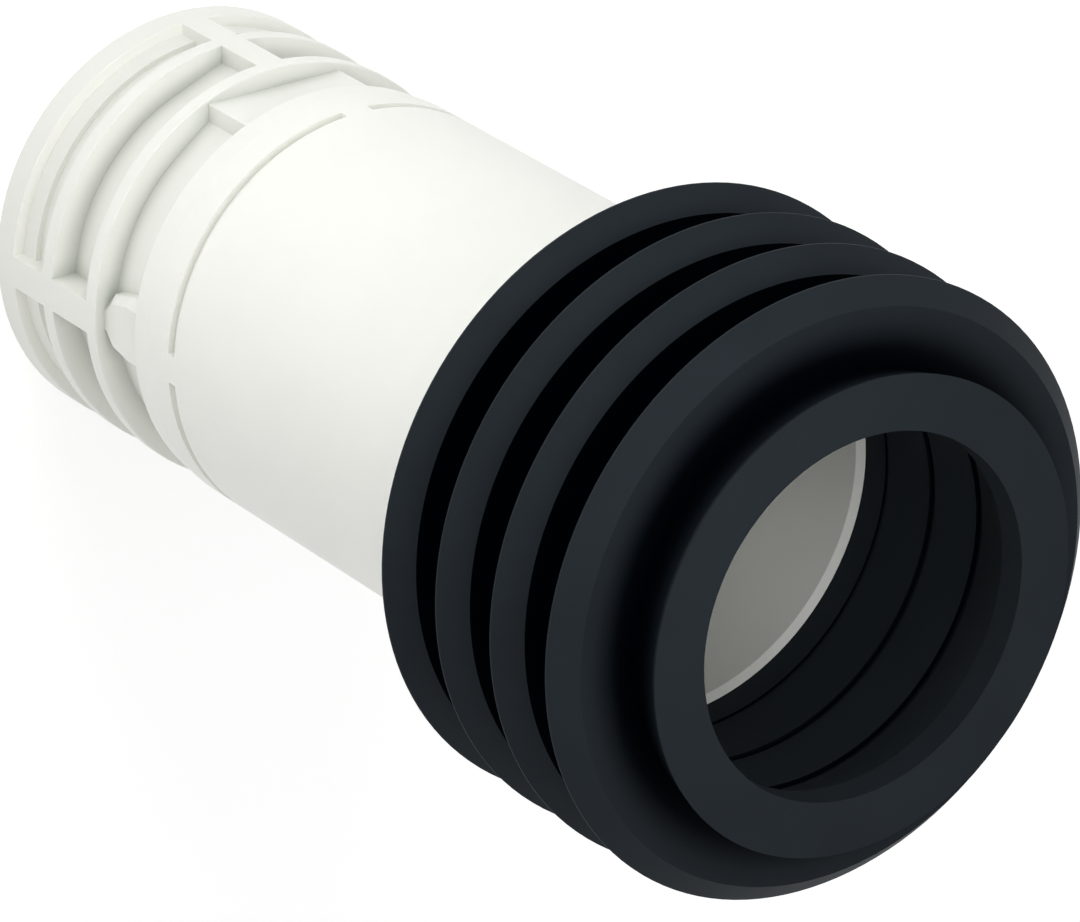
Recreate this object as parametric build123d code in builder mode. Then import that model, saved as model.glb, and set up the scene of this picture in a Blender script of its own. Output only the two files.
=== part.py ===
import os
from math import cos, radians, sin

from build123d import *

# Flush pipe between a cistern and a bowl, in two pieces. The white moulded pipe has a ribbed, cored end.
# The black rubber collar is pushed over its other end, and the four lips seal in the inlet of the bowl.
# The pipe stands on its far end and its axis is Z. Heights are counted from that end, in millimetres.

# White pipe: tube and its two ends
pipe_od = 45.0
tube_wall = 1.4
pipe_length = 88.35
mouth_chamfer = 0.8
mouth_chamfer_height = 0.5
end_rounding = 1.0
end_bore_chamfer = 0.6

# White pipe: cored stretch. Rings and ribs are flush with the tube, and the bore steps in under the pockets
end_ring_width = 3.05
ring_width = 1.8
shoulder_length = 2.35
shoulder_depth = 1.2
low_floor_length = 3.15
low_floor_depth = 1.75
middle_pocket_length = 6.5
upper_pocket_length = 7.0
pocket_depth = 2.9
upper_pocket_depth = 2.65
floor_wall = 1.6
ring_edge_rounding = 0.15
land_drop = 0.3
land_taper_length = 3.0
bore_cone_length = 5.0

# White pipe: the narrow ribs are across Y and the wide ones across X, with a flat pad above each of them
narrow_rib_width = 3.0
wide_rib_width = 3.5
rib_flat_angle = 22.0
broad_pad_flat_angle = 38.0
broad_pad_height = 0.85
broad_pad_width = 15.8
broad_pad_shift = 0.6
small_pad_height = 1.8
small_pad_foot_width = 3.6
small_pad_flare_width = 6.1
small_pad_flare_height = 1.1
small_pad_width = 7.5
small_pad_spread_height = 4.15
small_pad_chamfer = 0.8

# White pipe: marking groove round the tube, with a gap above each rib
mark_above_land = 3.65
mark_width = 1.15
mark_depth = 0.7
mark_gap = 3.1

# Rubber collar: sleeve on the pipe, and nose with its mouth
collar_reach = 28.65
grip_length = 9.35
sleeve_wall = 2.1
sleeve_end_chamfer = 0.5
mouth_bore = 37.0
mouth_land = 3.0
nose_face_width = 5.6
nose_taper = 1.4
nose_height = 5.3
nose_root_fillet = 1.5
nose_edge_rounding = 0.3
throat_depth = 9.9
throat_step = 0.9
seat_length = 3.35

# Rubber collar: lips, counted from the mouth, and the grooves that make the throat supple between them
lip_count = 4
lip_pitch = 8.87
first_lip_depth = 4.75
lip_height = 6.65
lip_width = 2.45
lip_bevel = 2.25
lip_root_fillet = 0.8
throat_groove_count = 3
throat_groove_pitch = 7.3
throat_groove_width = 0.9
throat_groove_depth = 0.55
first_throat_groove = 10.0

# Radii worked out from the sizes above
pipe_r = pipe_od / 2
tube_bore_r = pipe_r - tube_wall
floor_r = pipe_r - pocket_depth
upper_floor_r = pipe_r - upper_pocket_depth
end_bore_r = floor_r - floor_wall
inside_wall_r = floor_r - floor_wall / 3
mouth_r = mouth_bore / 2
nose_r = mouth_r + nose_face_width
nose_root_r = nose_r - nose_taper
throat_r = pipe_r - throat_step
seat_r = tube_bore_r + mouth_chamfer
sleeve_r = pipe_r + sleeve_wall
lip_r = sleeve_r + lip_height
lip_foot_r = sleeve_r - sleeve_wall / 2
lip_edge_r = lip_r - lip_bevel

# Heights worked out from the sizes above
step_h = end_ring_width + shoulder_length
low_ring_h = step_h + low_floor_length
middle_pocket_h = low_ring_h + ring_width
high_ring_h = middle_pocket_h + middle_pocket_length
upper_pocket_h = high_ring_h + ring_width
land_h = upper_pocket_h + upper_pocket_length
mark_h = land_h + land_taper_length + mark_above_land
collar_h = pipe_length - grip_length
mouth_h = pipe_length + collar_reach
first_lip_h = mouth_h - first_lip_depth
nose_root_h = mouth_h - nose_height
sleeve_end_h = collar_h + sleeve_end_chamfer

# Two lengths closer than this are the same one
match = 1e-6


# White pipe: the pair of small pads, which spread from a narrow foot. Their bevel follows the outline
with BuildPart() as small_pads:
    with BuildSketch(Plane.YZ):
        with BuildLine():
            Polyline(
                (0, upper_pocket_h - ring_width / 2),
                (small_pad_foot_width / 2, upper_pocket_h - ring_width / 2),
                (small_pad_foot_width / 2, upper_pocket_h),
                (small_pad_flare_width / 2, upper_pocket_h + small_pad_flare_height),
                (small_pad_width / 2, upper_pocket_h + small_pad_spread_height),
                (small_pad_width / 2, land_h + small_pad_chamfer),
                (0, land_h + small_pad_chamfer),
            )
            mirror(about=Plane.YZ)
        make_face()
    extrude(amount=floor_r + small_pad_height)
    chamfer(small_pads.faces().sort_by(Axis.X)[-1].edges(), small_pad_chamfer)
    mirror(about=Plane.YZ)
    with BuildSketch():
        Circle(inside_wall_r)
    extrude(amount=pipe_length, mode=Mode.SUBTRACT)

# White pipe: one moulding, turned first, with its pockets in the section
with BuildPart() as flush_pipe:
    with BuildSketch(Plane.XZ) as pipe_section:
        with BuildLine():
            Polyline(
                (end_bore_r + end_bore_chamfer, 0),
                (pipe_r, 0),
                (pipe_r, end_ring_width),
                (pipe_r - shoulder_depth, end_ring_width),
                (pipe_r - shoulder_depth, step_h),
                (pipe_r - low_floor_depth, step_h),
                (pipe_r - low_floor_depth, low_ring_h),
                (pipe_r, low_ring_h),
                (pipe_r, middle_pocket_h),
                (floor_r, middle_pocket_h),
                (floor_r, high_ring_h),
                (pipe_r, high_ring_h),
                (pipe_r, upper_pocket_h),
                (upper_floor_r, upper_pocket_h),
                (upper_floor_r, land_h),
                (pipe_r - land_drop, land_h),
                (pipe_r, land_h + land_taper_length),
                (pipe_r, pipe_length),
                (seat_r, pipe_length),
                (tube_bore_r, pipe_length - mouth_chamfer_height),
                (tube_bore_r, land_h + bore_cone_length),
                (end_bore_r, land_h),
                (end_bore_r, end_bore_chamfer),
                close=True,
            )
        make_face()
        corners = pipe_section.vertices()
        outer_edges = [v for v in corners if abs(v.X - pipe_r) < match]
        fillet([v for v in outer_edges if match < v.Y < upper_pocket_h + match], ring_edge_rounding)
        fillet([v for v in outer_edges if v.Y < match], end_rounding)
    revolve(axis=Axis.Z)

    # Broad pads lie in the upper pocket above the narrow ribs
    with BuildSketch(Plane.XY.offset(upper_pocket_h)):
        with Locations((-broad_pad_shift, 0)):
            Rectangle(broad_pad_width, 2 * (floor_r + broad_pad_height))
        Circle(inside_wall_r, mode=Mode.SUBTRACT)
    extrude(amount=upper_pocket_length)

    # Small pads lie above the wide ribs
    add(small_pads.part)

    # Beside the narrow ribs and the broad pads the pocket floor runs on flat, up to their sides
    for height, length, radius, angle, reach in (
        (middle_pocket_h, middle_pocket_length, floor_r, rib_flat_angle, narrow_rib_width / 2),
        (upper_pocket_h, upper_pocket_length, upper_floor_r, broad_pad_flat_angle, broad_pad_width / 2 - broad_pad_shift),
    ):
        across, up = sin(radians(angle)), cos(radians(angle))
        with BuildSketch(Plane.XY.offset(height)):
            with PolarLocations(0, 2):
                Polygon(
                    (-radius * across, radius * up),
                    (-reach, (radius - reach * across) / up),
                    (reach, (radius - reach * across) / up),
                    (radius * across, radius * up),
                    align=None,
                )
            Circle(inside_wall_r, mode=Mode.SUBTRACT)
        extrude(amount=length)

    # Four ribs tie the rings together, with parallel sides and tops flush with the tube
    with BuildSketch(Plane.XY.offset(end_ring_width / 2)):
        Rectangle(narrow_rib_width, 3 * pipe_r)
        Rectangle(3 * pipe_r, wide_rib_width)
        Circle(pipe_r, mode=Mode.INTERSECT)
        Circle(inside_wall_r, mode=Mode.SUBTRACT)
    extrude(amount=high_ring_h + ring_width / 2 - end_ring_width / 2)

    # Marking groove in four arcs
    with BuildSketch(Plane.XY.offset(mark_h)):
        Circle(pipe_r + mark_depth)
        Circle(pipe_r - mark_depth, mode=Mode.SUBTRACT)
        Rectangle(mark_gap, 3 * pipe_r, mode=Mode.SUBTRACT)
        Rectangle(3 * pipe_r, mark_gap, mode=Mode.SUBTRACT)
    extrude(amount=mark_width, mode=Mode.SUBTRACT)
flush_pipe.part.label = "flush_pipe"

# Rubber collar: its section is the sleeve and nose, plus the lips, less the throat grooves
with BuildPart() as rubber_collar:
    with BuildSketch(Plane.XZ) as collar_section:
        with BuildLine():
            Polyline(
                (pipe_r, collar_h),
                (sleeve_r - sleeve_end_chamfer, collar_h),
                (sleeve_r, sleeve_end_h),
                (sleeve_r, first_lip_h),
                (nose_r, first_lip_h),
                (nose_r, mouth_h),
                (mouth_r, mouth_h),
                (mouth_r, mouth_h - mouth_land),
                (throat_r, mouth_h - throat_depth),
                (throat_r, pipe_length + seat_length),
                (seat_r, pipe_length + seat_length),
                (seat_r, pipe_length),
                (pipe_r, pipe_length),
                close=True,
            )
        make_face()
        with Locations(*[(0, first_lip_h - n * lip_pitch) for n in range(lip_count)]):
            Polygon(
                (lip_foot_r, -lip_width),
                (lip_r, -lip_width),
                (lip_r, -lip_bevel),
                (lip_edge_r, 0),
                (lip_foot_r, 0),
                align=None,
            )
        Polygon(
            (nose_r, mouth_h),
            (nose_root_r, nose_root_h),
            (lip_edge_r, first_lip_h),
            (lip_edge_r, mouth_h),
            align=None,
            mode=Mode.SUBTRACT,
        )
        corners = collar_section.vertices()
        nose_root = [v for v in corners if abs(v.Y - nose_root_h) < match]
        lip_roots = [v for v in corners if abs(v.X - sleeve_r) < match and v.Y > sleeve_end_h + match]
        fillet(lip_roots, lip_root_fillet)
        fillet(nose_root, nose_root_fillet)
        fillet([v for v in corners if abs(v.Y - mouth_h) < match], nose_edge_rounding)
        groove_top = mouth_h - first_throat_groove
        groove_heights = [groove_top - n * throat_groove_pitch for n in range(throat_groove_count)]
        with Locations(*[(throat_r, height) for height in groove_heights]):
            Rectangle(
                2 * throat_groove_depth,
                throat_groove_width,
                align=(Align.CENTER, Align.MAX),
                mode=Mode.SUBTRACT,
            )
    revolve(axis=Axis.Z)
rubber_collar.part.label = "rubber_collar"

os.makedirs("parts", exist_ok=True)
export_step(flush_pipe.part, "parts/flush_pipe.step")
export_step(rubber_collar.part, "parts/rubber_collar.step")
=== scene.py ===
import math

import bmesh
import bpy
from mathutils import Matrix, Vector


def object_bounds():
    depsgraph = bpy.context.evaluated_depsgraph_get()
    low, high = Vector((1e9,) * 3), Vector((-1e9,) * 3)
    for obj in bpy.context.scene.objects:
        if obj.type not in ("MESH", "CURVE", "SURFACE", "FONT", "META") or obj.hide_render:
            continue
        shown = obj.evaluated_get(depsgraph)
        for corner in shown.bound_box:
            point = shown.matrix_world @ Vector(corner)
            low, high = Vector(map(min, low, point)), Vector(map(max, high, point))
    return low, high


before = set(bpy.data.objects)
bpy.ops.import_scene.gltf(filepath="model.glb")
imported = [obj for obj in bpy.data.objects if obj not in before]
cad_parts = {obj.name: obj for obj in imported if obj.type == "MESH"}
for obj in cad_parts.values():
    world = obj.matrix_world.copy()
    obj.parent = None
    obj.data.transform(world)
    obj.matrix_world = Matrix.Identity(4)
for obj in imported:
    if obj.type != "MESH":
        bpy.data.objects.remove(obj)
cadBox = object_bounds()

# The pipe stands on its cored far end, with the mouth of the rubber collar up at the top of the Z axis.
# Directions round the pipe are angles from +Y towards -X, in degrees. The photograph is taken from about 51.
millimetre = 0.001
mixFactor, mixA, mixB, mixResult = 0, 6, 7, 2    # the Mix node's sockets when it mixes colours


def linearColour(hexColour):
    # sRGB hex to the linear values that the shaders take
    values = [int(hexColour[i:i + 2], 16) / 255 for i in (1, 3, 5)]
    return [v / 12.92 if v <= 0.04045 else ((v + 0.055) / 1.055) ** 2.4 for v in values] + [1.0]


def addNode(tree, kind, settings=None, links=None):
    # settings: socket name or number, or property name, to its value; links: input socket to (node, output)
    node = tree.nodes.new(kind)
    for name, value in (settings or {}).items():
        if isinstance(name, int) or name in node.inputs:
            node.inputs[name].default_value = value
        else:
            setattr(node, name, value)
    for name, (source, output) in (links or {}).items():
        tree.links.new(source.outputs[output], node.inputs[name])
    return node


def newMaterial(name):
    material = bpy.data.materials.new(name)
    material.use_nodes = True
    material.node_tree.nodes.clear()
    return material, material.node_tree


# Polypropylene, injection moulded in a fine-blasted mould: satin, so its highlights are broad and soft.
# Painted shade darkens the corners of the cored pockets, so their walls are a little greyer than the tube
whitePlastic = {
    "colour": "#F3F3ED",
    "flowColour": "#EDEEE8",
    # painted shade that greys the corners of the deep pockets
    "pocketShadeColour": "#CDD0C9",
    "roughness": 0.42,
    "roughnessSpread": 0.06,
    "ior": 1.49,
    "grainSize": 0.35,                # mm, blasted texture, drawn coarse enough to show
    "grainDetail": 2.0,
    "grainBump": 0.012,               # mm
    "bumpStrength": 0.5,
    "flowSize": 14.0,                 # mm, slow drift of the melt along the tube
    "flowDetail": 3.0,
    "pocketShadeReach": 2.4,                # mm, how near the walls round a point count as a corner
    "pocketShadeSamples": 8,
    "pocketShadeOpenness": (0.35, 0.95),    # open share round a point with full painted shade, and with none
    "pocketShadeHeights": (9.0, 27.0),      # mm, the stretch of the deep pockets
}


def polypropylene():
    s = whitePlastic
    material, tree = newMaterial("satinWhitePolypropylene")
    place = addNode(tree, "ShaderNodeTexCoord")
    split = addNode(tree, "ShaderNodeSeparateXYZ", None, {"Vector": (place, "Object")})
    grain = addNode(tree, "ShaderNodeTexNoise",
                    {"Scale": 1 / (s["grainSize"] * millimetre), "Detail": s["grainDetail"]},
                    {"Vector": (place, "Object")})
    flow = addNode(tree, "ShaderNodeTexNoise",
                   {"Scale": 1 / (s["flowSize"] * millimetre), "Detail": s["flowDetail"]},
                   {"Vector": (place, "Object")})
    tint = addNode(tree, "ShaderNodeMix",
                   {"data_type": "RGBA", mixA: linearColour(s["colour"]),
                    mixB: linearColour(s["flowColour"])},
                   {mixFactor: (flow, "Fac")})
    # painted shade in the corners of the cored pockets: the less open a point, the greyer it is painted
    hollow = addNode(tree, "ShaderNodeAmbientOcclusion",
                     {"Distance": s["pocketShadeReach"] * millimetre, "samples": s["pocketShadeSamples"]})
    full, none = s["pocketShadeOpenness"]
    corners = addNode(tree, "ShaderNodeMapRange",
                      {"From Min": full, "From Max": none, "To Min": 1.0, "To Max": 0.0},
                      {"Value": (hollow, "AO")})
    low, high = [height * millimetre for height in s["pocketShadeHeights"]]
    cored = addNode(tree, "ShaderNodeMath",    # 1 between the two heights and 0 outside them
                    {"operation": "COMPARE", 1: (low + high) / 2, 2: (high - low) / 2},
                    {0: (split, "Z")})
    pocketShade = addNode(tree, "ShaderNodeMath", {"operation": "MULTIPLY"},
                    {0: (corners, "Result"), 1: (cored, "Value")})
    paint = addNode(tree, "ShaderNodeMix", {"data_type": "RGBA", mixB: linearColour(s["pocketShadeColour"])},
                    {mixFactor: (pocketShade, "Value"), mixA: (tint, mixResult)})
    rough = addNode(tree, "ShaderNodeMapRange",
                    {"To Min": s["roughness"] - s["roughnessSpread"],
                     "To Max": s["roughness"] + s["roughnessSpread"]},
                    {"Value": (flow, "Fac")})
    bump = addNode(tree, "ShaderNodeBump",
                   {"Strength": s["bumpStrength"], "Distance": s["grainBump"] * millimetre},
                   {"Height": (grain, "Fac")})
    shader = addNode(tree, "ShaderNodeBsdfPrincipled", {"IOR": s["ior"]},
                     {"Base Color": (paint, mixResult), "Roughness": (rough, "Result"),
                      "Normal": (bump, "Normal")})
    addNode(tree, "ShaderNodeOutputMaterial", None, {"Surface": (shader, "BSDF")})
    return material


# EPDM rubber, moulded: matt blue-black under a faint bloom. Painted shade turns the grooves between
# the lips black and darkens the recess round the nose, the inside of the throat and other hollows
blackRubber = {
    "colour": "#24292E",
    "bloomColour": "#2A3035",
    # painted shade for the grooves between the lips, the recess round the nose and other hollows
    "paintedShadeColour": "#010409",
    "roughness": 0.5,
    "roughnessSpread": 0.08,
    "ior": 1.45,
    "sheen": 0.03,                    # specular level: a matt skin hardly mirrors
    "grainSize": 0.3,                 # mm, drawn coarse enough to show
    "grainDetail": 2.0,
    "grainBump": 0.02,                # mm
    "bumpStrength": 0.5,
    "bloomSize": 9.0,                 # mm, width of the bloom's patches
    "bloomDetail": 4.0,
    "hollowReach": 8.0,               # mm, how near the walls round a point count as a hollow
    "hollowSamples": 8,
    "hollowShadeOpenness": (0.28, 0.88),    # open share round a point with full painted shade, and with none
    "grooveRadii": (23.5, 29.0),      # mm, from the sleeve to the foot of the bevels
    "grooveHeights": (85.5, 110.0),   # mm, from the last lip to the first
    "recessRadii": (22.6, 27.6),      # mm, from the root of the nose outwards
    "recessHeights": (110.0, 116.6),  # mm
    "recessFull": 24.4,               # mm, radius from which the recess grows paler
    "recessShade": 0.5,
}


def epdmRubber():
    s = blackRubber
    material, tree = newMaterial("mattBlackRubber")
    place = addNode(tree, "ShaderNodeTexCoord")
    split = addNode(tree, "ShaderNodeSeparateXYZ", None, {"Vector": (place, "Object")})
    across = addNode(tree, "ShaderNodeCombineXYZ", None, {"X": (split, "X"), "Y": (split, "Y")})
    radius = addNode(tree, "ShaderNodeVectorMath", {"operation": "LENGTH"}, {"Vector": (across, "Vector")})
    grain = addNode(tree, "ShaderNodeTexNoise",
                    {"Scale": 1 / (s["grainSize"] * millimetre), "Detail": s["grainDetail"]},
                    {"Vector": (place, "Object")})
    bloom = addNode(tree, "ShaderNodeTexNoise",
                    {"Scale": 1 / (s["bloomSize"] * millimetre), "Detail": s["bloomDetail"]},
                    {"Vector": (place, "Object")})
    tint = addNode(tree, "ShaderNodeMix",
                   {"data_type": "RGBA", mixA: linearColour(s["colour"]),
                    mixB: linearColour(s["bloomColour"])},
                   {mixFactor: (bloom, "Fac")})
    # painted shade in hollows: the less open a point, the nearer it is painted to the shade colour
    hollow = addNode(tree, "ShaderNodeAmbientOcclusion",
                     {"Distance": s["hollowReach"] * millimetre, "samples": s["hollowSamples"]})
    none, full = s["hollowShadeOpenness"]
    openness = addNode(tree, "ShaderNodeMapRange", {"From Min": none, "From Max": full},
                       {"Value": (hollow, "AO")})
    zones = {}    # each is 1 between its two limits and 0 outside them
    for name, source, output in (("grooveRadii", radius, "Value"), ("grooveHeights", split, "Z"),
                                 ("recessRadii", radius, "Value"), ("recessHeights", split, "Z")):
        low, high = [length * millimetre for length in s[name]]
        zones[name] = addNode(tree, "ShaderNodeMath",
                              {"operation": "COMPARE", 1: (low + high) / 2, 2: (high - low) / 2},
                              {0: (source, output)})
    # painted shade: the grooves between the lips are painted black, and the recess round the nose dark, paling
    # outwards
    groove = addNode(tree, "ShaderNodeMath", {"operation": "MULTIPLY"},
                     {0: (zones["grooveRadii"], "Value"), 1: (zones["grooveHeights"], "Value")})
    recess = addNode(tree, "ShaderNodeMath", {"operation": "MULTIPLY"},
                     {0: (zones["recessRadii"], "Value"), 1: (zones["recessHeights"], "Value")})
    fade = addNode(tree, "ShaderNodeMapRange",
                   {"From Min": s["recessFull"] * millimetre, "From Max": s["recessRadii"][1] * millimetre,
                    "To Min": s["recessShade"], "To Max": 0.0},
                   {"Value": (radius, "Value")})
    fading = addNode(tree, "ShaderNodeMath", {"operation": "MULTIPLY"},
                     {0: (recess, "Value"), 1: (fade, "Result")})
    paintedShade = addNode(tree, "ShaderNodeMath", {"operation": "MAXIMUM"},
                   {0: (groove, "Value"), 1: (fading, "Value")})
    unshaded = addNode(tree, "ShaderNodeMath", {"operation": "SUBTRACT", "use_clamp": True},
                      {0: (openness, "Result"), 1: (paintedShade, "Value")})
    paint = addNode(tree, "ShaderNodeMix", {"data_type": "RGBA", mixA: linearColour(s["paintedShadeColour"])},
                    {mixFactor: (unshaded, "Value"), mixB: (tint, mixResult)})
    rough = addNode(tree, "ShaderNodeMapRange",
                    {"To Min": s["roughness"] - s["roughnessSpread"],
                     "To Max": s["roughness"] + s["roughnessSpread"]},
                    {"Value": (bloom, "Fac")})
    bump = addNode(tree, "ShaderNodeBump",
                   {"Strength": s["bumpStrength"], "Distance": s["grainBump"] * millimetre},
                   {"Height": (grain, "Fac")})
    shader = addNode(tree, "ShaderNodeBsdfPrincipled", {"IOR": s["ior"], "Specular IOR Level": s["sheen"]},
                     {"Base Color": (paint, mixResult), "Roughness": (rough, "Result"),
                      "Normal": (bump, "Normal")})
    addNode(tree, "ShaderNodeOutputMaterial", None, {"Surface": (shader, "BSDF")})
    return material


def dress(node, material):
    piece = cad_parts[node]
    piece.data.materials.clear()
    piece.data.materials.append(material)


dress("flush_pipe", polypropylene())
dress("rubber_collar", epdmRubber())
print("materials done")


# Pale floor under the pipe. It is white to the camera and keeps the pipe's shadow
paleFloor = {
    "side": 6.0,             # m
    "colour": "#EEEEEE",
    "whitening": 0.4,        # glow that only the camera and reflections see
}


def makeFloor():
    s = paleFloor
    mesh = bpy.data.meshes.new("floor")
    bm = bmesh.new()
    bmesh.ops.create_grid(bm, x_segments=1, y_segments=1, size=s["side"] / 2)
    bm.to_mesh(mesh)
    bm.free()
    floor = bpy.data.objects.new("floor", mesh)
    bpy.context.scene.collection.objects.link(floor)
    material, tree = newMaterial("paleFloor")
    seen = addNode(tree, "ShaderNodeLightPath")
    either = addNode(tree, "ShaderNodeMath", {"operation": "MAXIMUM"},
                     {0: (seen, "Is Camera Ray"), 1: (seen, "Is Glossy Ray")})
    strength = addNode(tree, "ShaderNodeMath", {"operation": "MULTIPLY", 1: s["whitening"]},
                       {0: (either, "Value")})
    glow = addNode(tree, "ShaderNodeEmission", None, {"Strength": (strength, "Value")})
    matt = addNode(tree, "ShaderNodeBsdfDiffuse", {"Color": linearColour(s["colour"])})
    both = addNode(tree, "ShaderNodeAddShader", None, {0: (glow, "Emission"), 1: (matt, "BSDF")})
    addNode(tree, "ShaderNodeOutputMaterial", None, {"Surface": (both, "Shader")})
    mesh.materials.append(material)


makeFloor()

# Soft studio light: a white surround, a softbox from the side, one that lights the floor in front of the pipe
# and a very weak narrow lamp that shines into the mouth. Angles are directions round the pipe. Reach is the
# distance from the pipe's axis, and each lamp aims at the point that aimReach and aimHeight give. Metres, watts
surround = {"colour": "#FFFFFF", "strength": 0.72, "cameraStrength": 1.0}
softboxes = {
    "keySoftbox": {"angle": 8.0, "reach": 0.62, "height": 0.34, "aimReach": 0.0, "aimHeight": 0.06,
                   "width": 0.3, "tall": 0.3, "power": 0.64},
    "bounceSoftbox": {"angle": 34.0, "reach": 0.22, "height": 0.36, "aimReach": 0.22, "aimHeight": 0.0,
                      "width": 0.22, "tall": 0.22, "power": 0.35, "spread": 50.0},
    "mouthSnoot": {"angle": 51.0, "reach": 0.31, "height": 0.451, "aimReach": 0.009, "aimHeight": 0.117,
                   "width": 0.03, "tall": 0.03, "power": 0.0007, "spread": 5.0},
}


def makeSurround():
    s = surround
    world = bpy.data.worlds.new("surround")
    world.use_nodes = True
    tree = world.node_tree
    tree.nodes.clear()
    seen = addNode(tree, "ShaderNodeLightPath")
    strength = addNode(tree, "ShaderNodeMapRange", {"To Min": s["strength"], "To Max": s["cameraStrength"]},
                       {"Value": (seen, "Is Camera Ray")})
    back = addNode(tree, "ShaderNodeBackground", {"Color": linearColour(s["colour"])},
                   {"Strength": (strength, "Result")})
    addNode(tree, "ShaderNodeOutputWorld", None, {"Surface": (back, "Background")})
    bpy.context.scene.world = world


def makeSoftbox(name, s):
    light = bpy.data.lights.new(name, "AREA")
    light.shape = "RECTANGLE"
    light.size = s["width"]
    light.size_y = s["tall"]
    light.energy = s["power"]
    if "spread" in s:
        light.spread = math.radians(s["spread"])
    lamp = bpy.data.objects.new(name, light)
    turn = math.radians(s["angle"])
    outward = Vector((-math.sin(turn), math.cos(turn), 0))
    place = outward * s["reach"] + Vector((0, 0, s["height"]))
    aim = outward * s["aimReach"] + Vector((0, 0, s["aimHeight"]))
    lamp.location = place
    lamp.rotation_euler = (place - aim).to_track_quat("Z", "Y").to_euler()
    lamp.visible_camera = False
    bpy.context.scene.collection.objects.link(lamp)


makeSurround()
for name, settings in softboxes.items():
    makeSoftbox(name, settings)
print("floor and lights done")

# The camera of the photograph, found from the ellipses of the rings and lips. Its upright is the pipe's +Y
photo = {
    "width": 1080,                   # pixels
    "height": 922,
    "focalPixels": 7701.9,           # focal length in those pixels
    "mouthPixel": (865.1, 618.0),    # where the centre of the collar's front face is seen
    "distance": 0.71409,             # m, from the camera to that point, along the view
    "aside": 35.109,                 # degrees from the pipe's axis, round the photograph's upright
    "above": 24.967,                 # degrees above the pipe's axis in the photograph
    "sensor": 36.0,                  # mm
    "clip": (0.05, 50.0),            # m, the nearest and farthest that the camera sees
}


def makeCamera():
    s = photo
    aside, above = math.radians(s["aside"]), math.radians(s["above"])
    back = Vector((-math.cos(above) * math.sin(aside), math.sin(above), math.cos(above) * math.cos(aside)))
    right = Vector((0, 1, 0)).cross(back).normalized()
    up = back.cross(right)
    mouth = Vector((0, 0, cadBox[1].z))
    metresPerPixel = s["distance"] / s["focalPixels"]
    offRight = (s["mouthPixel"][0] - s["width"] / 2) * metresPerPixel
    offUp = (s["height"] / 2 - s["mouthPixel"][1]) * metresPerPixel
    data = bpy.data.cameras.new("photoCamera")
    data.sensor_width = s["sensor"]
    data.lens = s["focalPixels"] / s["width"] * s["sensor"]
    data.clip_start, data.clip_end = s["clip"]
    camera = bpy.data.objects.new("photoCamera", data)
    turn = Matrix((right, up, back)).transposed().to_4x4()
    place = mouth + back * s["distance"] - right * offRight - up * offUp
    camera.matrix_world = Matrix.Translation(place) @ turn
    bpy.context.scene.collection.objects.link(camera)
    bpy.context.scene.camera = camera


makeCamera()
bpy.context.scene.view_settings.view_transform = "Standard"
print("camera done")
